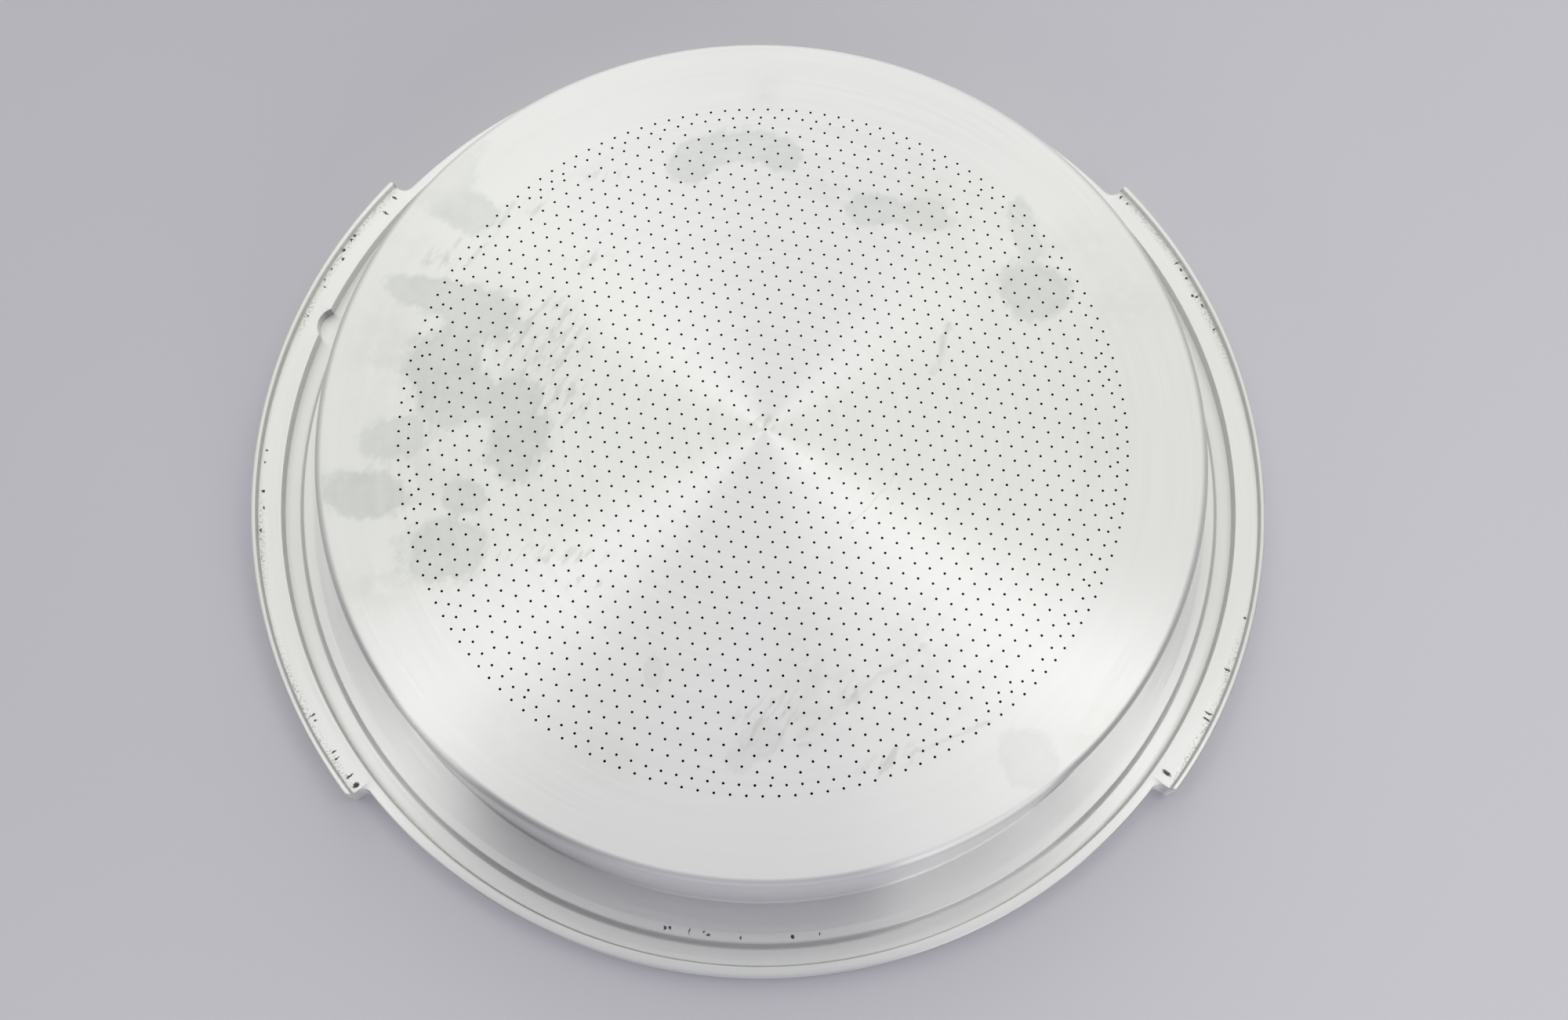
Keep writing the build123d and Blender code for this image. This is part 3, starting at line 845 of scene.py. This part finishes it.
def flange_material(marks, nick):
    """The upper side of the flange outside the seat: turned metal with dark nicks and, at the foot of the
    rims, grey scuffed stretches of short strokes. A fine noise shakes the position, so that no nick is a
    clean ellipse."""
    material, nodes, metal, position, colour = turned_metal(
        "turned_flange", marks, FLANGE_ROUGHNESS, FACE_ANISOTROPY)
    shake = nodes.add("ShaderNodeTexNoise", {}, Vector=position, Scale=SHAKE_SCALE, Detail=FINE_DETAIL)
    shaken = nodes.vector("MULTIPLY_ADD", shake.outputs["Color"], (SHAKE, SHAKE, 0), position)
    shaken = nodes.vector("MULTIPLY_ADD", shaken, FLAT, (-SHAKE / 2, -SHAKE / 2, 0))
    radius = nodes.length(shaken)
    rise = nodes.ramp(radius, SCUFF_START * MM, SCUFF_FULL * MM)
    foot = nodes.math("MULTIPLY", rise, nodes.ramp(radius, SCUFF_FADE * MM, SCUFF_END * MM, 1.0, 0.0))
    strokes = nodes.ramp(nodes.noise(position, SCUFF_SCALE, SCUFF_DETAIL), *SCUFF_EDGE)
    band = nodes.math("MULTIPLY", foot, nodes.math("MULTIPLY", strokes, nodes.attribute("scuff")))
    colour = nodes.mix(nodes.math("MULTIPLY", band, SCUFF_DEPTH), colour, SCUFF_COLOUR)
    nodes.put(metal, "Base Color", nodes.mix(chain(nodes, nick, shaken, nicks()), colour, NICK_COLOUR))
    return material


def bore_painted_shade_material():
    """The dull walls of the drilled orifices, painted near black: painted shade that stands in for the
    darkness down the deep narrow bores.
    """
    material = bpy.data.materials.new("drilled_bore_painted_shade")
    material.use_nodes = True
    shader = material.node_tree.nodes["Principled BSDF"]
    shader.inputs["Base Color"].default_value = BORE_PAINTED_SHADE
    shader.inputs["Metallic"].default_value = 1.0
    shader.inputs["Roughness"].default_value = BORE_ROUGHNESS
    return material


def showerhead():
    """The visible part, which stands for the frame's solid."""
    mesh = showerhead_mesh()
    piece = bpy.data.objects.new("showerhead_body", mesh)
    bpy.context.scene.collection.objects.link(piece)
    marks = turning_marks_group()
    mesh.materials.append(turned_metal("turned_drum", marks, DRUM_ROUGHNESS, DRUM_ANISOTROPY)[0])
    mesh.materials.append(face_material(marks, scratch_group()))
    mesh.materials.append(flange_material(marks, nick_group()))
    mesh.materials.append(bore_painted_shade_material())
    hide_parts("showerhead")
    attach(piece, "root")
    return piece


def floor():
    """A pale lilac-grey floor under the part, with painted shading: a little darker to the left and at the
    back, as shade that stands in for how the light falls off, and with a faint mottling."""
    corners = [(x * FLOOR_HALF, y * FLOOR_HALF, -FLOOR_GAP) for x, y in ((-1, -1), (1, -1), (1, 1), (-1, 1))]
    mesh = bpy.data.meshes.new("floor")
    mesh.from_pydata(corners, [], [(0, 1, 2, 3)])
    plane = bpy.data.objects.new("floor", mesh)
    bpy.context.scene.collection.objects.link(plane)
    material = bpy.data.materials.new("floor")
    material.use_nodes = True
    nodes = Nodes(material.node_tree)
    shader = material.node_tree.nodes["Principled BSDF"]
    position = nodes.add("ShaderNodeTexCoord").outputs["Object"]
    mottle = nodes.math("MULTIPLY", nodes.noise(position, FLOOR_MOTTLE_SCALE), FLOOR_MOTTLE)
    # Painted light: the floor's colour goes from painted shade to painted light along the slope, with the
    # mottling added
    level = nodes.ramp(nodes.math("ADD", nodes.dot(position, FLOOR_PAINTED_LIGHT_SLOPE), mottle), *FLOOR_PAINTED_LIGHT_RANGE)
    nodes.put(shader, "Base Color", nodes.mix(level, FLOOR_PAINTED_SHADE, FLOOR_PAINTED_LIGHT))
    shader.inputs["Roughness"].default_value = FLOOR_ROUGHNESS
    mesh.materials.append(material)


def surround():
    """A pale studio: bright over the part and behind it, darker at the sides and darker and more lilac
    towards the camera, with a bright band low in front. A camera that looks past the floor sees a plain
    backdrop instead."""
    world = bpy.data.worlds.new("surround")
    world.use_nodes = True
    nodes = Nodes(world.node_tree)
    background = world.node_tree.nodes["Background"]
    direction = nodes.add("ShaderNodeTexCoord").outputs["Generated"]
    x, y, _ = nodes.add("ShaderNodeSeparateXYZ", {}, Vector=direction).outputs
    depth = nodes.ramp(y, *SKY_DEPTH)
    sides = nodes.ramp(nodes.math("ABSOLUTE", x), *SKY_SIDES)
    nodes.put(background, "Color", nodes.mix(nodes.ramp(y, *SKY_TINT), SKY_FRONT, SKY_BACK))
    strength = nodes.math("ADD", nodes.math("MULTIPLY", depth, sides), nodes.ramp(y, *SKY_LOW_BAND))
    nodes.put(background, "Strength", strength)
    backdrop = nodes.add("ShaderNodeBackground", {}, Color=BACKDROP_COLOUR, Strength=1.0)
    seen = nodes.add("ShaderNodeLightPath").outputs["Is Camera Ray"]
    mixed = nodes.add("ShaderNodeMixShader", {}, _0=seen, _1=background.outputs[0], _2=backdrop.outputs[0])
    nodes.put(world.node_tree.nodes["World Output"], "Surface", mixed.outputs[0])
    bpy.context.scene.world = world


def lights():
    """The square lamps of the studio, each turned to look at the middle of the part's face."""
    target = Vector((0, 0, FACE_HEIGHT * MM))
    for name, place, size, power in SOFTBOXES:
        lamp = bpy.data.lights.new(name, "AREA")
        lamp.size = size
        lamp.energy = power
        holder = bpy.data.objects.new(name, lamp)
        holder.location = place
        holder.rotation_euler = (target - holder.location).to_track_quat("-Z", "Y").to_euler()
        bpy.context.scene.collection.objects.link(holder)


def camera():
    """The camera of the photograph: its place, the way it looks and its own right-hand direction come from
    fitting the hole pattern. The right-hand direction is made square to the way it looks."""
    holder = bpy.data.objects.new("camera", bpy.data.cameras.new("camera"))
    bpy.context.scene.collection.objects.link(holder)
    holder.data.lens = LENS
    holder.data.sensor_width = SENSOR_WIDTH
    holder.data.clip_start = CLIP_START
    looks = Vector(CAMERA_LOOKS).normalized()
    right = Vector(CAMERA_RIGHT)
    right = (right - right.dot(looks) * looks).normalized()
    upwards = right.cross(looks)
    turn = Matrix((right, upwards, -looks)).transposed()
    place = Vector((CAMERA_X, CAMERA_Y, FACE_HEIGHT + CAMERA_ABOVE_FACE)) * MM
    holder.matrix_world = Matrix.Translation(place) @ turn.to_4x4()
    bpy.context.scene.camera = holder


camera()
showerhead()
floor()
surround()
lights()
bpy.context.scene.view_settings.view_transform = "Standard"
